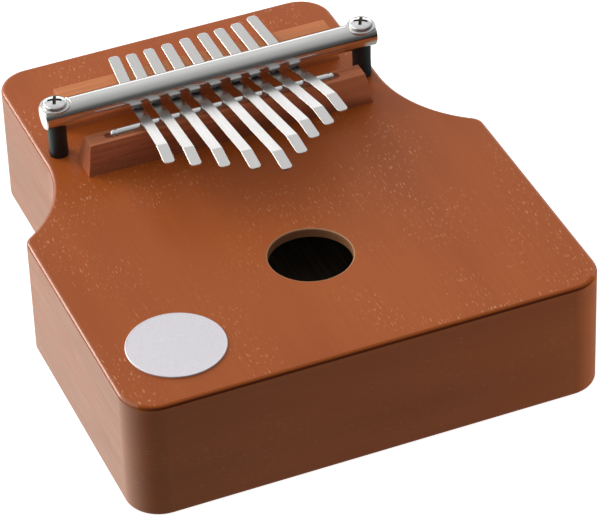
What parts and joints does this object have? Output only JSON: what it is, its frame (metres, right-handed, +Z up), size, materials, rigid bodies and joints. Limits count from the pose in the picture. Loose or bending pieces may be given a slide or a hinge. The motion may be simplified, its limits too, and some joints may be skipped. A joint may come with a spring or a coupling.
{
  "type": "mbira",
  "caption": "Hollow wooden box kalimba with a waisted body, round sound hole and a fan of bent steel tines clamped over two wooden bridge blocks by a round steel bar.",
  "frame": {"origin": "centre of the underside in plan, on the surface that the box rests on", "axes": "+Z up through the soundboard; -Y towards the player, the way the tines point; +X to the right seen from the player"},
  "size_m": [0.16, 0.1886, 0.0645],
  "materials": {
    "box_wood": "satin",
    "dark_wood": "satin",
    "light_wood": "satin",
    "brace_wood": "raw",
    "tine_steel": "brushed along the length",
    "bar_steel": "satin nickel",
    "polished_metal": "polished",
    "sleeve_rubber": "satin black"
  },
  "bodies": {
    "box": {"soundboard": "box_wood", "side_rim": "box_wood", "back_plate": "box_wood", "bridge_brace": "brace_wood", "trim_disc": "polished_metal", "front_bridge_block": "dark_wood", "rear_bridge_block": "light_wood", "rest_rod": "polished_metal", "clamp_bar": "bar_steel", "left_sleeve": "sleeve_rubber", "right_sleeve": "sleeve_rubber", "clamp_screws": "polished_metal", "screw_washers": "polished_metal"},
    "tine_1_shank": {"tine_1_shank": "tine_steel"},
    "tine_1_blade": {"tine_1_blade": "tine_steel"},
    "tine_2_shank": {"tine_2_shank": "tine_steel"},
    "tine_2_blade": {"tine_2_blade": "tine_steel"},
    "tine_3_shank": {"tine_3_shank": "tine_steel"},
    "tine_3_blade": {"tine_3_blade": "tine_steel"},
    "tine_4_shank": {"tine_4_shank": "tine_steel"},
    "tine_4_blade": {"tine_4_blade": "tine_steel"},
    "tine_5_shank": {"tine_5_shank": "tine_steel"},
    "tine_5_blade": {"tine_5_blade": "tine_steel"},
    "tine_6_shank": {"tine_6_shank": "tine_steel"},
    "tine_6_blade": {"tine_6_blade": "tine_steel"},
    "tine_7_shank": {"tine_7_shank": "tine_steel"},
    "tine_7_blade": {"tine_7_blade": "tine_steel"},
    "tine_8_shank": {"tine_8_shank": "tine_steel"},
    "tine_8_blade": {"tine_8_blade": "tine_steel"},
    "tine_9_shank": {"tine_9_shank": "tine_steel"},
    "tine_9_blade": {"tine_9_blade": "tine_steel"}
  },
  "joints": [
    {"name": "tine_1_tuning", "type": "slide", "parent": "box", "child": "tine_1_shank", "axis": [-0.0834, -0.9937, 0.0748], "range_m": [-0.0015, 0.0015]},
    {"name": "tine_1_pluck", "type": "hinge", "parent": "tine_1_shank", "child": "tine_1_blade", "pos_m": [-0.02753, 0.02706, 0.05683], "axis": [0.9965, -0.0837, 0], "range_deg": [-3, 3], "stiffness_Nm_per_rad": 3.81},
    {"name": "tine_2_tuning", "type": "slide", "parent": "box", "child": "tine_2_shank", "axis": [-0.0626, -0.9952, 0.0748], "range_m": [-0.0015, 0.0015]},
    {"name": "tine_2_pluck", "type": "hinge", "parent": "tine_2_shank", "child": "tine_2_blade", "pos_m": [-0.02075, 0.02706, 0.05683], "axis": [0.998, -0.0628, 0], "range_deg": [-3, 3], "stiffness_Nm_per_rad": 3.08},
    {"name": "tine_3_tuning", "type": "slide", "parent": "box", "child": "tine_3_shank", "axis": [-0.0418, -0.9963, 0.0748], "range_m": [-0.0015, 0.0015]},
    {"name": "tine_3_pluck", "type": "hinge", "parent": "tine_3_shank", "child": "tine_3_blade", "pos_m": [-0.01346, 0.02705, 0.05683], "axis": [0.9991, -0.0419, 0], "range_deg": [-3, 3], "stiffness_Nm_per_rad": 2.6},
    {"name": "tine_4_tuning", "type": "slide", "parent": "box", "child": "tine_4_shank", "axis": [-0.0209, -0.997, 0.0748], "range_m": [-0.0015, 0.0015]},
    {"name": "tine_4_pluck", "type": "hinge", "parent": "tine_4_shank", "child": "tine_4_blade", "pos_m": [-0.00608, 0.02705, 0.05683], "axis": [0.9998, -0.0209, 0], "range_deg": [-3, 3], "stiffness_Nm_per_rad": 2.23},
    {"name": "tine_5_tuning", "type": "slide", "parent": "box", "child": "tine_5_shank", "axis": [0, -0.9972, 0.0748], "range_m": [-0.0015, 0.0015]},
    {"name": "tine_5_pluck", "type": "hinge", "parent": "tine_5_shank", "child": "tine_5_blade", "pos_m": [0.0015, 0.02705, 0.05683], "axis": [1, 0, 0], "range_deg": [-3, 3], "stiffness_Nm_per_rad": 1.97},
    {"name": "tine_6_tuning", "type": "slide", "parent": "box", "child": "tine_6_shank", "axis": [0.0209, -0.997, 0.0748], "range_m": [-0.0015, 0.0015]},
    {"name": "tine_6_pluck", "type": "hinge", "parent": "tine_6_shank", "child": "tine_6_blade", "pos_m": [0.00898, 0.02705, 0.05683], "axis": [0.9998, 0.0209, 0], "range_deg": [-3, 3], "stiffness_Nm_per_rad": 2.33},
    {"name": "tine_7_tuning", "type": "slide", "parent": "box", "child": "tine_7_shank", "axis": [0.0418, -0.9963, 0.0748], "range_m": [-0.0015, 0.0015]},
    {"name": "tine_7_pluck", "type": "hinge", "parent": "tine_7_shank", "child": "tine_7_blade", "pos_m": [0.01597, 0.02705, 0.05683], "axis": [0.9991, 0.0419, 0], "range_deg": [-3, 3], "stiffness_Nm_per_rad": 2.86},
    {"name": "tine_8_tuning", "type": "slide", "parent": "box", "child": "tine_8_shank", "axis": [0.0626, -0.9952, 0.0748], "range_m": [-0.0015, 0.0015]},
    {"name": "tine_8_pluck", "type": "hinge", "parent": "tine_8_shank", "child": "tine_8_blade", "pos_m": [0.02325, 0.02706, 0.05683], "axis": [0.998, 0.0628, 0], "range_deg": [-3, 3], "stiffness_Nm_per_rad": 3.47},
    {"name": "tine_9_tuning", "type": "slide", "parent": "box", "child": "tine_9_shank", "axis": [0.0834, -0.9937, 0.0748], "range_m": [-0.0015, 0.0015]},
    {"name": "tine_9_pluck", "type": "hinge", "parent": "tine_9_shank", "child": "tine_9_blade", "pos_m": [0.03073, 0.02706, 0.05683], "axis": [0.9965, 0.0837, 0], "range_deg": [-3, 3], "stiffness_Nm_per_rad": 4.52}
  ]
}
